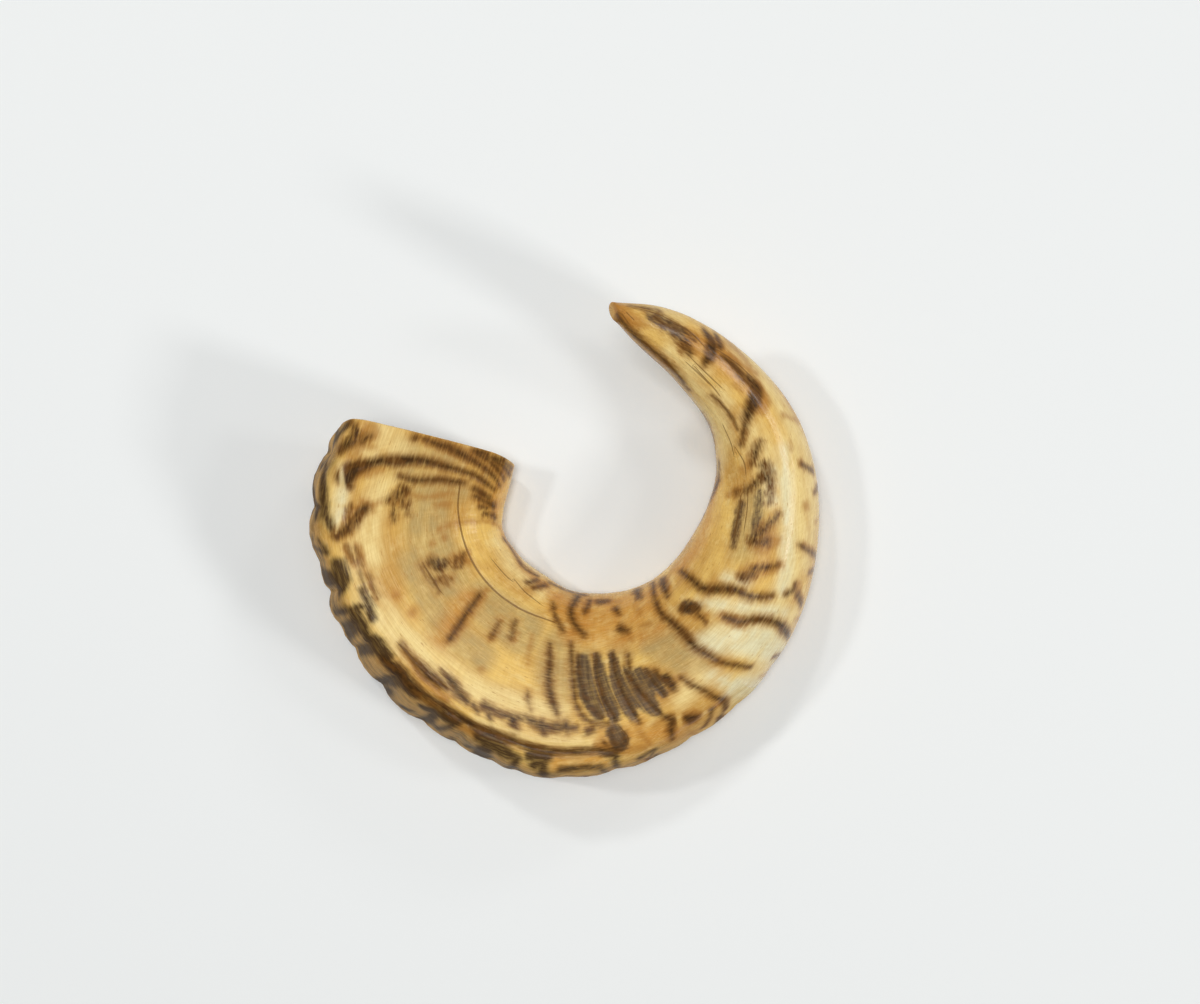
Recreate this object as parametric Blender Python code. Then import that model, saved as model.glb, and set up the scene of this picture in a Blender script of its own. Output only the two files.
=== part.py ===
# Polished ram horn: one curled horn sheath, sawn off at its base, lying on its side.
# Metres, +Z up. The origin is on the table, under the middle of the horn's outline.
# +X runs across the curl, the sawn base and the tip both lie towards +Y, and the tip is raised.

import math

import bmesh
import bpy
from mathutils import Vector

MM = 0.001

# Driving dimensions, in millimetres
RING_SIDES = 38          # facets around the horn
CAVITY_SIDES = 20        # facets around the hollow
RING_STEP = 3.25         # between rings on the ridges, along the keel
SMOOTH_STEP = 7.0        # between rings past the last ridge
RIDGE_SHARPNESS = 0.8    # below 1, the valleys are narrower than the ridges
# The growth ridges, from the base on: where the valley before each lies along the keel,
# how deep that valley is and how far the ridge's top stands out, both from the mean surface
RIDGES = (
    (0.0, 0.6, 0.5), (23.5, 1.0, 0.9), (46.5, 1.5, 1.2), (69.0, 0.8, -0.5), (82.5, 2.5, 0.7),
    (98.0, 0.4, 0.1), (107.5, 1.0, 0.7), (126.0, 1.1, 0.9), (148.5, 0.8, 0.3), (164.0, 0.9, 0.5),
    (181.0, 0.6, 0.3), (191.5, 0.4, 0.5), (212.0, 0.3, 0.5), (232.5, 0.6, 0.4), (250.0, 0.2, 0.3),
    (265.5, 0.6, 0.4), (288.0, 0.2, 0.4), (309.0, 0.3, 0.1), (330.0, 0.0, 0.0),
)
CAVITY_DEPTH = 165.0     # along the keel, from the first station
CAVITY_RINGS = 15
CAVITY_SIZE = 0.74       # of the section, at the saw cut: leaves a wall of 4 to 5 mm
CAVITY_CENTRE = (0.68, 0.40)  # place across the section, and share of the crest's height
CAVITY_TAPER = (2.4, 0.55)  # how late the hollow narrows, and how round it ends
TIP_DOME = 0.5           # how far the worn tip bulges

# The saw cut leans back under the horn, so that it is hidden from above
SAW_POINT = (-19.5, 33.5, 11.0)
SAW_NORMAL = (0.13, 0.953, -0.274)
SAW_REACH = -8.0         # the cut stops at this x, short of the tip across the curl
REST_LEVEL = 0.35        # worn off the lowest spots of the underside
ON_THE_PLANE = 0.0001    # vertices this near a cut count as on it

# Stations from the base to the tip, in a working frame on the table: the edge inside the
# curl, the keel outside it, the crest's height over the line between them, the belly's
# depth under it, the crest's place along that line, and how oval the section is
# (0 three-sided, 1 oval)
STATIONS = (
    ((-15.5, 46.0, 12.0), (-86.0, 61.0, 6.0), 37.0, 9.5, 0.78, 0.00),
    ((-18.8, 32.8, 11.0), (-94.6, 42.6, 5.0), 38.5, 9.5, 0.78, 0.00),
    ((-22.5, 19.0, 10.0), (-101.0, 22.0, 4.0), 38.5, 9.0, 0.80, 0.00),
    ((-23.5, 8.0, 10.0), (-99.0, -6.5, 4.0), 37.5, 9.0, 0.79, 0.00),
    ((-16.9, -2.7, 10.0), (-88.0, -34.0, 4.0), 37.0, 9.0, 0.76, 0.00),
    ((-7.1, -10.4, 10.0), (-70.0, -59.0, 4.0), 37.0, 9.0, 0.75, 0.00),
    ((3.2, -16.5, 10.0), (-41.0, -80.0, 4.5), 36.5, 9.0, 0.77, 0.05),
    ((15.0, -18.0, 10.0), (-8.0, -92.0, 6.0), 35.0, 9.5, 0.82, 0.20),
    ((27.5, -16.5, 10.0), (26.0, -88.2, 8.0), 32.0, 10.0, 0.81, 0.45),
    ((37.5, -12.0, 11.0), (55.6, -74.3, 10.0), 29.0, 11.0, 0.75, 0.75),
    ((46.0, -4.3, 12.0), (79.0, -54.5, 11.0), 26.5, 12.0, 0.70, 0.95),
    ((53.5, 6.5, 13.0), (95.6, -28.5, 12.0), 24.0, 12.6, 0.68, 1.00),
    ((59.7, 19.2, 14.0), (103.2, 3.0, 13.0), 21.0, 13.6, 0.66, 1.00),
    ((62.3, 32.5, 17.0), (102.2, 30.0, 15.5), 17.5, 13.0, 0.64, 1.00),
    ((60.3, 45.7, 22.0), (95.6, 50.0, 20.5), 15.0, 12.5, 0.62, 1.00),
    ((45.4, 65.9, 36.0), (69.0, 79.6, 34.5), 11.0, 10.0, 0.60, 1.00),
    ((27.6, 80.8, 54.0), (37.8, 93.2, 53.0), 6.5, 6.0, 0.58, 1.00),
    ((22.6, 86.5, 61.0), (19.8, 93.8, 61.0), 3.2, 3.0, 0.55, 1.00),
)
CREST_HEIGHT, BELLY_DEPTH, CREST_PLACE, OVALNESS = 2, 3, 4, 5  # a station's numbers

# The two sections as points around the horn, each (place from the inner edge to the keel,
# height over that line in crest heights, or under it in belly depths). They go from the
# inner edge over the upper face and the crest, down the front to the keel and back below
THREE_SIDED = (
    (0.00, 0.00), (0.025, 0.20), (0.10, 0.39), (0.24, 0.55), (0.45, 0.75),
    (0.65, 0.92), (0.775, 1.00), (0.85, 0.90), (0.925, 0.52), (1.00, 0.04),
    (0.965, -0.33), (0.74, -0.57), (0.46, -0.74), (0.20, -0.99), (0.045, -0.68),
)
OVAL = (
    (0.00, 0.00), (0.035, 0.40), (0.14, 0.72), (0.30, 0.93), (0.47, 1.02),
    (0.64, 1.00), (0.79, 0.84), (0.90, 0.60), (0.97, 0.32), (1.00, 0.00),
    (0.955, -0.46), (0.80, -0.85), (0.54, -1.02), (0.26, -0.88), (0.06, -0.49),
)
# How much of a ridge each of those points has
RIDGE_REACH = (0.1, 0.0, 0.0, 0.0, 0.0, 0.1, 0.45, 0.8, 1.0, 1.0, 0.7, 0.3, 0.2, 0.15, 0.15)
THREE_SIDED_CREST = 6    # the highest point of each section
OVAL_CREST = 5


def smooth_through(knots, values, place):
    """The value at a place on a smooth curve through values at knots."""
    last = len(knots) - 1

    def slope(i):
        if i == 0:
            return (values[1] - values[0]) / (knots[1] - knots[0])
        if i == last:
            return (values[last] - values[last - 1]) / (knots[last] - knots[last - 1])
        before = knots[i] - knots[i - 1]
        after = knots[i + 1] - knots[i]
        rise_before = (values[i] - values[i - 1]) / before
        rise_after = (values[i + 1] - values[i]) / after
        return (rise_before * after + rise_after * before) / (before + after)

    i = 0
    while i < last - 1 and place > knots[i + 1]:
        i += 1
    width = knots[i + 1] - knots[i]
    t = (place - knots[i]) / width
    return (
        values[i] * ((1 + 2 * t) * (1 - t) ** 2)
        + slope(i) * (width * t * (1 - t) ** 2)
        + values[i + 1] * (t * t * (3 - 2 * t))
        - slope(i + 1) * (width * t * t * (1 - t))
    )


def around(points, sides):
    """Samples of a closed smooth curve through points, as many between each two."""
    total = len(points)
    samples = []
    for n in range(sides):
        place = n * total / sides
        i = int(place)
        t = place - i
        a, b, c, d = (points[(i + k) % total] for k in (-1, 0, 1, 2))
        square = a * 2 - b * 5 + c * 4 - d
        cube = b * 3 - a - c * 3 + d
        samples.append((b * 2 + (c - a) * t + square * t ** 2 + cube * t ** 3) / 2)
    return samples


class HornForm:
    """The horn's smooth form, read at any distance along its keel."""

    def __init__(self):
        self.inner = [Vector(s[0]) for s in STATIONS]
        self.keel = [Vector(s[1]) for s in STATIONS]
        self.knots = [0.0]
        for a, b in zip(self.keel, self.keel[1:]):
            self.knots.append(self.knots[-1] + (b - a).length)
        self.length = self.knots[-1]

    def number(self, column, place):
        return smooth_through(self.knots, [s[column] for s in STATIONS], place)

    def edges(self, place):
        return (
            smooth_through(self.knots, self.inner, place),
            smooth_through(self.knots, self.keel, place),
        )

    def frame(self, place):
        """The inner edge, the way across to the keel, the way along and the way up."""
        inner, keel = self.edges(place)
        ahead = min(place + 1.0, self.length)
        behind = max(place - 1.0, 0.0)
        along = (sum(self.edges(ahead), Vector()) - sum(self.edges(behind), Vector())).normalized()
        across = keel - inner
        up = across.cross(along).normalized()
        return inner, across, along, up

    def section(self, place, sides):
        """Points (place across, height in mm, share of a ridge) around the section."""
        crest = self.number(CREST_HEIGHT, place)
        belly = self.number(BELLY_DEPTH, place)
        oval = min(max(self.number(OVALNESS, place), 0.0), 1.0)
        own_crest = THREE_SIDED[THREE_SIDED_CREST][0] * (1 - oval) + OVAL[OVAL_CREST][0] * oval
        crest_shift = self.number(CREST_PLACE, place) - own_crest
        corners = []
        for three_sided, round_one, reach in zip(THREE_SIDED, OVAL, RIDGE_REACH):
            u = three_sided[0] * (1 - oval) + round_one[0] * oval
            v = three_sided[1] * (1 - oval) + round_one[1] * oval
            u += crest_shift * max(v, 0.0) ** 2
            corners.append(Vector((u, v * (crest if v > 0 else belly), reach)))
        return around(corners, sides)


def ridge(place):
    """How far a growth ridge stands proud of the mean surface at a distance along the keel."""
    for (start, valley, top), (end, next_valley, _) in zip(RIDGES, RIDGES[1:]):
        if place < end:
            share = (place - start) / (end - start)
            floor = -valley * (1 - share) - next_valley * share
            return floor + (top - floor) * math.sin(math.pi * share) ** RIDGE_SHARPNESS
    return 0.0


def outer_ring(form, place):
    inner, across, along, up = form.frame(place)
    section = form.section(place, RING_SIDES)
    points = [inner + across * u + up * height for u, height, _ in section]
    lifted = []
    for i, point in enumerate(points):
        around_it = points[(i + 1) % RING_SIDES] - points[i - 1]
        outward = around_it.cross(along).normalized()
        lifted.append(point + outward * (ridge(place) * section[i][2]))
    return lifted


def cavity_middle(form, place):
    inner, across, _, up = form.frame(place)
    across_share, crest_share = CAVITY_CENTRE
    return inner + across * across_share + up * (crest_share * form.number(CREST_HEIGHT, place))


def cavity_ring(form, place):
    inner, across, _, up = form.frame(place)
    middle = cavity_middle(form, place)
    late, blunt = CAVITY_TAPER
    size = CAVITY_SIZE * (1 - (place / CAVITY_DEPTH) ** late) ** blunt
    return [
        middle + (inner + across * u + up * height - middle) * size
        for u, height, _ in form.section(place, CAVITY_SIDES)
    ]


def ring_places(form):
    """Distances along the keel: evenly over each ridge, then wider steps to the tip."""
    starts = [start for start, _, _ in RIDGES] + [form.length]
    places = []
    for start, end in zip(starts, starts[1:]):
        step = SMOOTH_STEP if end == form.length else RING_STEP
        rings = round((end - start) / step)
        places += [start + (end - start) * n / rings for n in range(rings)]
    return places + [form.length]


def loft(bm, rings, end):
    """Quads between rings, open at the first and closed over the last by a fan to end."""
    loops = [[bm.verts.new(point) for point in ring] for ring in rings]
    sides = len(loops[0])
    for a, b in zip(loops, loops[1:]):
        for i in range(sides):
            j = (i + 1) % sides
            bm.faces.new((a[i], a[j], b[j], b[i]))
    apex = bm.verts.new(end)
    for i in range(sides):
        bm.faces.new((loops[-1][i], loops[-1][(i + 1) % sides], apex))


def middle_of(points):
    return sum(points, Vector()) / len(points)


def cut_flat(bm, point, normal, reach=math.inf):
    """Saw off what lies past a plane, up to x = reach, and close the cut with flat faces."""
    faces = [face for face in bm.faces if all(vert.co.x < reach for vert in face.verts)]
    edges = {edge for face in faces for edge in face.edges}
    verts = {vert for face in faces for vert in face.verts}
    bmesh.ops.bisect_plane(
        bm,
        geom=[*verts, *edges, *faces],
        dist=ON_THE_PLANE,
        plane_co=point,
        plane_no=normal,
        clear_outer=True,
    )
    rim = [edge for edge in bm.edges if edge.is_boundary]
    bmesh.ops.triangle_fill(bm, edges=rim, use_beauty=True, normal=normal)


def horn_mesh():
    form = HornForm()
    bm = bmesh.new()

    outer = [outer_ring(form, place) for place in ring_places(form)]
    tip = middle_of(outer[-1]) + form.frame(form.length)[2] * TIP_DOME
    loft(bm, outer, tip)

    depths = [CAVITY_DEPTH * math.sin(0.5 * math.pi * n / CAVITY_RINGS) for n in range(CAVITY_RINGS)]
    hollow = [cavity_ring(form, place) for place in depths]
    loft(bm, hollow, cavity_middle(form, CAVITY_DEPTH))

    cut_flat(bm, Vector(SAW_POINT), Vector(SAW_NORMAL).normalized(), SAW_REACH)
    cut_flat(bm, Vector((0.0, 0.0, REST_LEVEL)), Vector((0.0, 0.0, -1.0)))
    bmesh.ops.triangulate(bm, faces=bm.faces[:])
    bmesh.ops.recalc_face_normals(bm, faces=bm.faces[:])

    # Stand it on the table, with the origin under the middle of its outline
    xs, ys, zs = ([vert.co[axis] for vert in bm.verts] for axis in range(3))
    origin = Vector(((min(xs) + max(xs)) / 2, (min(ys) + max(ys)) / 2, min(zs)))
    bmesh.ops.translate(bm, verts=bm.verts[:], vec=-origin)
    bmesh.ops.scale(bm, verts=bm.verts[:], vec=(MM, MM, MM))

    mesh = bpy.data.meshes.new("horn")
    bm.to_mesh(mesh)
    bm.free()
    return mesh


def horn_material():
    material = bpy.data.materials.new("polished_horn")
    material.use_nodes = True
    surface = material.node_tree.nodes["Principled BSDF"]
    surface.inputs["Base Color"].default_value = (0.66, 0.45, 0.21, 1.0)
    surface.inputs["Roughness"].default_value = 0.3
    surface.inputs["Metallic"].default_value = 0.0
    return material


def main():
    for old in list(bpy.data.objects):
        bpy.data.objects.remove(old, do_unlink=True)
    collection = bpy.data.collections.new("ram_horn")
    bpy.context.scene.collection.children.link(collection)

    mesh = horn_mesh()
    mesh.materials.append(horn_material())
    mesh.shade_smooth()
    mesh.set_sharp_from_angle(angle=math.radians(40))
    horn = bpy.data.objects.new("horn", mesh)
    collection.objects.link(horn)


main()
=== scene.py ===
import math

import bpy
import numpy as np
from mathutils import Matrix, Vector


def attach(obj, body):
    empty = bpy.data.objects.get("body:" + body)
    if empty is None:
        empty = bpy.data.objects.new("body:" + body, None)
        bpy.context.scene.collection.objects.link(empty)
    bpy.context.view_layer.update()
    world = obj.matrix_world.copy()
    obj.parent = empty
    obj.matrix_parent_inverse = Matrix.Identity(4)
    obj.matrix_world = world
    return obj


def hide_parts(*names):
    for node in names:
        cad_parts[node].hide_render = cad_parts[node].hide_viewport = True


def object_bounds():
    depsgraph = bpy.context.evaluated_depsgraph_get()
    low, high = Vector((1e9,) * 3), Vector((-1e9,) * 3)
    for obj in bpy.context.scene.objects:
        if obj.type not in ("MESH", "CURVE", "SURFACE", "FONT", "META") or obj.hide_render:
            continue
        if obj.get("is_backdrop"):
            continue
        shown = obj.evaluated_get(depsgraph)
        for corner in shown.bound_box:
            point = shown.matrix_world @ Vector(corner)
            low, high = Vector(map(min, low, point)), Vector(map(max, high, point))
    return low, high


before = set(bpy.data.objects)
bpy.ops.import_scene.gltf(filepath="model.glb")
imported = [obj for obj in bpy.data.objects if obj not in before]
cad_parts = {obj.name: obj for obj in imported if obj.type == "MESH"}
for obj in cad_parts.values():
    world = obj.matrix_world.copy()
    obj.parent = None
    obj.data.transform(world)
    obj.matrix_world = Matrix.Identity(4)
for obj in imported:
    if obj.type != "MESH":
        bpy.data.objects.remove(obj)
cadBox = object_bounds()

# The horn's form. Lengths are in millimetres
hornForm = {
    "shift": (0.53273, 0.55582, 0.35),  # from the stations' place to the table
    "turnsAt": (0, 6, 9.2, 15),  # at the inner edge, past the crest, at the keel and at the edge again
    "columns": (84, 46, 44),  # faces over the upper face, down the front and underneath
    "rows": 536,
    "ridgeSharpness": 0.8,
    # where the valley before each ridge lies, how deep it is and how far the ridge stands out
    "ridges": (
        (0, 0.6, 0.5), (23.5, 1, 0.9), (46.5, 1.5, 1.2), (69, 0.8, -0.5), (82.5, 2.5, 0.7),
        (98, 0.4, 0.1), (107.5, 1, 0.7), (126, 1.1, 0.9), (148.5, 0.8, 0.3), (164, 0.9, 0.5),
        (181, 0.6, 0.3), (191.5, 0.4, 0.5), (212, 0.3, 0.5), (232.5, 0.6, 0.4), (250, 0.2, 0.3),
        (265.5, 0.6, 0.4), (288, 0.2, 0.4), (309, 0.3, 0.1), (330, 0, 0),
    ),
    "sawPoint": (-19.5, 33.5, 11.0),
    "sawNormal": (0.13, 0.953, -0.274),
    "sawReach": 45.0,  # the cut lies before this place on every line of the grid
    "sawRows": 4,
    "rimRounding": 0.35,
    "tipGap": 0.3,  # from the last row to the end of the form
    "tipDome": 0.6,
    "tipRows": ((0.96, 0.35), (0.86, 0.65), (0.68, 0.8), (0.36, 0.95), (0.0, 1.0)),  # size, share of the dome
    "cavityDepth": 165.0,
    "cavitySize": 0.74,
    "cavityMiddle": (0.68, 0.40),  # share of the way to the keel, share of the crest's height
    "cavityTaper": (2.4, 0.55),  # how late the hollow narrows, how round it ends
    "cavityRows": 26,
    "cavityRoughness": 0.25,
    "restLevel": 0.35,
}

# Stations: inner edge, keel, crest height, belly depth, crest place, how oval
stations = np.array([
    (-15.5, 46, 12, -86, 61, 6, 37, 9.5, 0.78, 0),
    (-18.8, 32.8, 11, -94.6, 42.6, 5, 38.5, 9.5, 0.78, 0),
    (-22.5, 19, 10, -101, 22, 4, 38.5, 9, 0.8, 0),
    (-23.5, 8, 10, -99, -6.5, 4, 37.5, 9, 0.79, 0),
    (-16.9, -2.7, 10, -88, -34, 4, 37, 9, 0.76, 0),
    (-7.1, -10.4, 10, -70, -59, 4, 37, 9, 0.75, 0),
    (3.2, -16.5, 10, -41, -80, 4.5, 36.5, 9, 0.77, 0.05),
    (15, -18, 10, -8, -92, 6, 35, 9.5, 0.82, 0.2),
    (27.5, -16.5, 10, 26, -88.2, 8, 32, 10, 0.81, 0.45),
    (37.5, -12, 11, 55.6, -74.3, 10, 29, 11, 0.75, 0.75),
    (46, -4.3, 12, 79, -54.5, 11, 26.5, 12, 0.7, 0.95),
    (53.5, 6.5, 13, 95.6, -28.5, 12, 24, 12.6, 0.68, 1),
    (59.7, 19.2, 14, 103.2, 3, 13, 21, 13.6, 0.66, 1),
    (62.3, 32.5, 17, 102.2, 30, 15.5, 17.5, 13, 0.64, 1),
    (60.3, 45.7, 22, 95.6, 50, 20.5, 15, 12.5, 0.62, 1),
    (45.4, 65.9, 36, 69, 79.6, 34.5, 11, 10, 0.6, 1),
    (27.6, 80.8, 54, 37.8, 93.2, 53, 6.5, 6, 0.58, 1),
    (22.6, 86.5, 61, 19.8, 93.8, 61, 3.2, 3, 0.55, 1),
])
edges, sizes = stations[:, :6], stations[:, 6:]
crestHeight, bellyDepth = stations[:, 6], stations[:, 7]

# Corners of the section, one to a turn: how far out, and how high or deep in crests or bellies
threeSided = np.array([
    (0, 0), (0.025, 0.2), (0.1, 0.39), (0.24, 0.55), (0.45, 0.75),
    (0.65, 0.92), (0.775, 1), (0.85, 0.9), (0.925, 0.52), (1, 0.04),
    (0.965, -0.33), (0.74, -0.57), (0.46, -0.74), (0.2, -0.99), (0.045, -0.68),
])
ovalOne = np.array([
    (0, 0), (0.035, 0.4), (0.14, 0.72), (0.3, 0.93), (0.47, 1.02),
    (0.64, 1), (0.79, 0.84), (0.9, 0.6), (0.97, 0.32), (1, 0),
    (0.955, -0.46), (0.8, -0.85), (0.54, -1.02), (0.26, -0.88), (0.06, -0.49),
])
threeSidedCrest, ovalCrest = threeSided[6, 0], ovalOne[5, 0]
ridgeReach = np.array([0.1, 0, 0, 0, 0, 0.1, 0.45, 0.8, 1.0, 1.0, 0.7, 0.3, 0.2, 0.15, 0.15])
turnCount = len(threeSided)

keelSteps = np.linalg.norm(np.diff(edges[:, 3:], axis=0), axis=1)
knots = np.concatenate([[0.0], np.cumsum(keelSteps)])
hornLength = knots[-1]


def smoothAlong(values, places):
    # values given at the stations, at any place between them
    values = values.reshape(len(knots), -1)
    width = np.diff(knots)[:, None]
    rise = np.diff(values, axis=0) / width
    between = (rise[:-1] * width[1:] + rise[1:] * width[:-1]) / (width[:-1] + width[1:])
    slope = np.vstack([rise[:1], between, rise[-1:]])
    i = np.clip(np.searchsorted(knots[1:], places), 0, len(knots) - 2)
    w = width[i]
    t = (places - knots[i])[:, None] / w
    return (
        values[i] * ((1 + 2 * t) * (1 - t) ** 2)
        + slope[i] * (w * t * (1 - t) ** 2)
        + values[i + 1] * (t * t * (3 - 2 * t))
        - slope[i + 1] * (w * t * t * (1 - t))
    )


def curveThrough(a, b, c, d, t):
    # from b to c, on a curve that passes through all four
    return (b * 2 + (c - a) * t + (a * 2 - b * 5 + c * 4 - d) * t ** 2 + (b * 3 - a - c * 3 + d) * t ** 3) / 2


def unit(vectors):
    return vectors / np.maximum(np.linalg.norm(vectors, axis=-1, keepdims=True), 1e-12)


def frameAt(places):
    ends = smoothAlong(edges, places)
    ahead = smoothAlong(edges, np.minimum(places + 1, hornLength))
    behind = smoothAlong(edges, np.maximum(places - 1, 0))
    along = unit((ahead - behind)[:, :3] + (ahead - behind)[:, 3:])
    across = ends[:, 3:] - ends[:, :3]
    return ends[:, :3], across, unit(np.cross(across, along)), along


def sectionAt(places, turns):
    crest, belly, crestPlace, oval = smoothAlong(sizes, places).T
    oval = np.clip(oval, 0, 1)
    ownCrest = threeSidedCrest * (1 - oval) + ovalCrest * oval
    first = np.floor(turns).astype(int)
    corners = []
    for k in (-1, 0, 1, 2):
        i = (first + k) % turnCount
        u = threeSided[i, 0] * (1 - oval) + ovalOne[i, 0] * oval
        v = threeSided[i, 1] * (1 - oval) + ovalOne[i, 1] * oval
        u = u + (crestPlace - ownCrest) * np.maximum(v, 0) ** 2
        corners.append(np.stack([u, v * np.where(v > 0, crest, belly), ridgeReach[i]], axis=1))
    return curveThrough(*corners, (turns - first)[:, None])


def hornPoints(places, turns):
    inner, across, up = frameAt(places)[:3]
    section = sectionAt(places, turns)
    return inner + across * section[:, :1] + up * section[:, 1:2]


def cavityPoints(places, turns):
    inner, across, up = frameAt(places)[:3]
    out, high = hornForm["cavityMiddle"]
    middle = inner + across * out + up * (high * smoothAlong(crestHeight, places))
    late, blunt = hornForm["cavityTaper"]
    share = np.clip(1 - (places / hornForm["cavityDepth"]) ** late, 0, 1)
    size = hornForm["cavitySize"] * share ** blunt
    return middle + (hornPoints(places, turns) - middle) * size[:, None]


sawNormal = unit(np.array(hornForm["sawNormal"]))


def sawDistance(points):
    return (points - np.array(hornForm["sawPoint"])) @ sawNormal


def whereSawn(pointsAt, turns):
    # how far along the keel each line of the grid meets the saw cut
    low, high = np.zeros(len(turns)), np.full(len(turns), hornForm["sawReach"])
    for halving in range(30):
        middle = (low + high) / 2
        outside = sawDistance(pointsAt(middle, turns)) > 0
        low, high = np.where(outside, middle, low), np.where(outside, high, middle)
    return high


def ease(t):
    return t * t * (3 - 2 * t)


def easeOut(values, start, end):
    return 1 - ease(np.clip((values - start) / (end - start), 0, 1))


def wobble(values, pitch, seed):
    # smooth random waves between -1 and 1, always the same for one seed
    heights = np.random.default_rng(seed).uniform(-1, 1, 4096)
    place = values / pitch + 1000
    i = np.floor(place).astype(int)
    t = ease(place - i)
    return heights[i % 4096] * (1 - t) + heights[(i + 1) % 4096] * t


def lumps(points, size, seed):
    x, y, z = (points / size).T
    a = wobble(x + 0.6 * y, 1, seed) + wobble(y - 0.4 * z + 31, 1, seed + 1)
    return (a + wobble(z + 0.5 * x - 57, 1, seed + 2)) / 3


def ridgeRise(places):
    starts, valleys, tops = np.array(hornForm["ridges"]).T
    i = np.clip(np.searchsorted(starts, places, side="right") - 1, 0, len(starts) - 2)
    share = np.clip((places - starts[i]) / (starts[i + 1] - starts[i]), 0, 1)
    floor = -valleys[i] * (1 - share) - valleys[i + 1] * share
    return floor + (tops[i] - floor) * np.sin(np.pi * share) ** hornForm["ridgeSharpness"]


# The grid that wraps the horn: turns go round it from the inner edge, places along the keel
face, front, under = hornForm["columns"]
fromEdge, pastCrest, atKeel, backAtEdge = hornForm["turnsAt"]
turnKnots = np.concatenate([
    np.linspace(fromEdge, pastCrest, face, endpoint=False),
    np.linspace(pastCrest, atKeel, front, endpoint=False),
    np.linspace(atKeel, backAtEdge, under + 1),
])
columns = len(turnKnots) - 1
rim = hornForm["rimRounding"]
sawnAt = whereSawn(hornPoints, turnKnots)
sawnInside = whereSawn(cavityPoints, turnKnots)
share = np.linspace(0, 1, hornForm["rows"])[:, None]
places = sawnAt + rim + (hornLength - hornForm["tipGap"] - sawnAt - rim) * share
shape = places.shape
placeList, turnList = places.ravel(), np.broadcast_to(turnKnots, shape).ravel()
inner, across, up = frameAt(placeList)[:3]
section = sectionAt(placeList, turnList)
skin = inner + across * section[:, :1] + up * section[:, 1:2]

# the same grid as if the horn were straight, in mm along, across and up, for patterns that follow it
wide = np.linalg.norm(across, axis=1)
middleHeight = smoothAlong(crestHeight - bellyDepth, placeList)[:, 0] * 0.35
straight = np.stack([placeList * 0.85, (section[:, 0] - 0.5) * wide, section[:, 1] - middleHeight], axis=1)


def skinNormals(points):
    grid = points.reshape(*shape, 3)
    ring = grid[:, :-1]
    byTurn = np.roll(ring, -1, axis=1) - np.roll(ring, 1, axis=1)
    byTurn = np.concatenate([byTurn, byTurn[:, :1]], axis=1)
    byPlace = np.gradient(grid, axis=0)
    return unit(np.cross(byTurn, byPlace)).reshape(-1, 3)


normals = skinNormals(skin)

# growth lines lean towards the tip on their way out to the keel, more so further along
lean = np.interp(placeList, [0, 150, 240, 512], [16, 32, 46, 42])
bulge = np.interp(placeList, [0, 120, 260], [9, 7, 0])
reachOut = np.clip(section[:, 0], 0, 1)
growth = placeList - lean * reachOut + bulge * np.sin(np.pi * np.clip(reachOut / 0.85, 0, 1))
print("horn grid", shape)

# The view from above, in which the marks are set out: where the eye is and what it sees, in mm and pixels
view = {
    "eye": (15.2, 18.4, 700.0), "mmToPixel": 0.41, "middle": (600, 502), "width": 1200,
    "grazing": (0.03, -0.25), "farthest": 1.5,
}
eye = np.array(view["eye"]) + np.array(hornForm["shift"])
viewScale = view["eye"][2] / view["mmToPixel"]
midX, midY = view["middle"]
leastSeen, leastFacing = view["grazing"]
pixel = view["mmToPixel"] * 0.96  # at the horn's height


def seenAt(points):
    away = viewScale / (eye[2] - points[:, 2])
    return np.stack([midX + (points[:, 0] - eye[0]) * away, midY - (points[:, 1] - eye[1]) * away], axis=1)


seen = seenAt(skin)
towardsEye = np.sum(normals * unit(eye - skin), axis=1)
visible = np.where(towardsEye > leastSeen)[0]


def ontoSkin(spots):
    # each spot goes to the tangent plane of the nearest visible point of the skin
    found = []
    for x, y in spots:
        near = visible[np.argmin(np.sum((seen[visible] - (x, y)) ** 2, axis=1))]
        way = np.array(((x - midX) / viewScale, -(y - midY) / viewScale, -1.0))
        facing = min(way @ normals[near], leastFacing)
        far = ((skin[near] - eye) @ normals[near]) / facing
        step = eye + way * far - skin[near]
        found.append(skin[near] + step * min(1.0, view["farthest"] / max(np.linalg.norm(step), 1e-9)))
    return np.array(found)


def smoothLine(stroke, spacing=3.0):
    # a curve through a stroke's points, each (x, y) or (x, y, width)
    points = np.array(stroke, dtype=float)
    if len(points) == 1:
        return points
    padded = np.vstack([points[0] * 2 - points[1], points, points[-1] * 2 - points[-2]])
    line = []
    for a, b, c, d in zip(padded, padded[1:], padded[2:], padded[3:]):
        count = max(1, int(np.linalg.norm((c - b)[:2]) / spacing))
        line += [curveThrough(a, b, c, d, t) for t in np.arange(count) / count]
    return np.array(line + [points[-1]])


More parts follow.
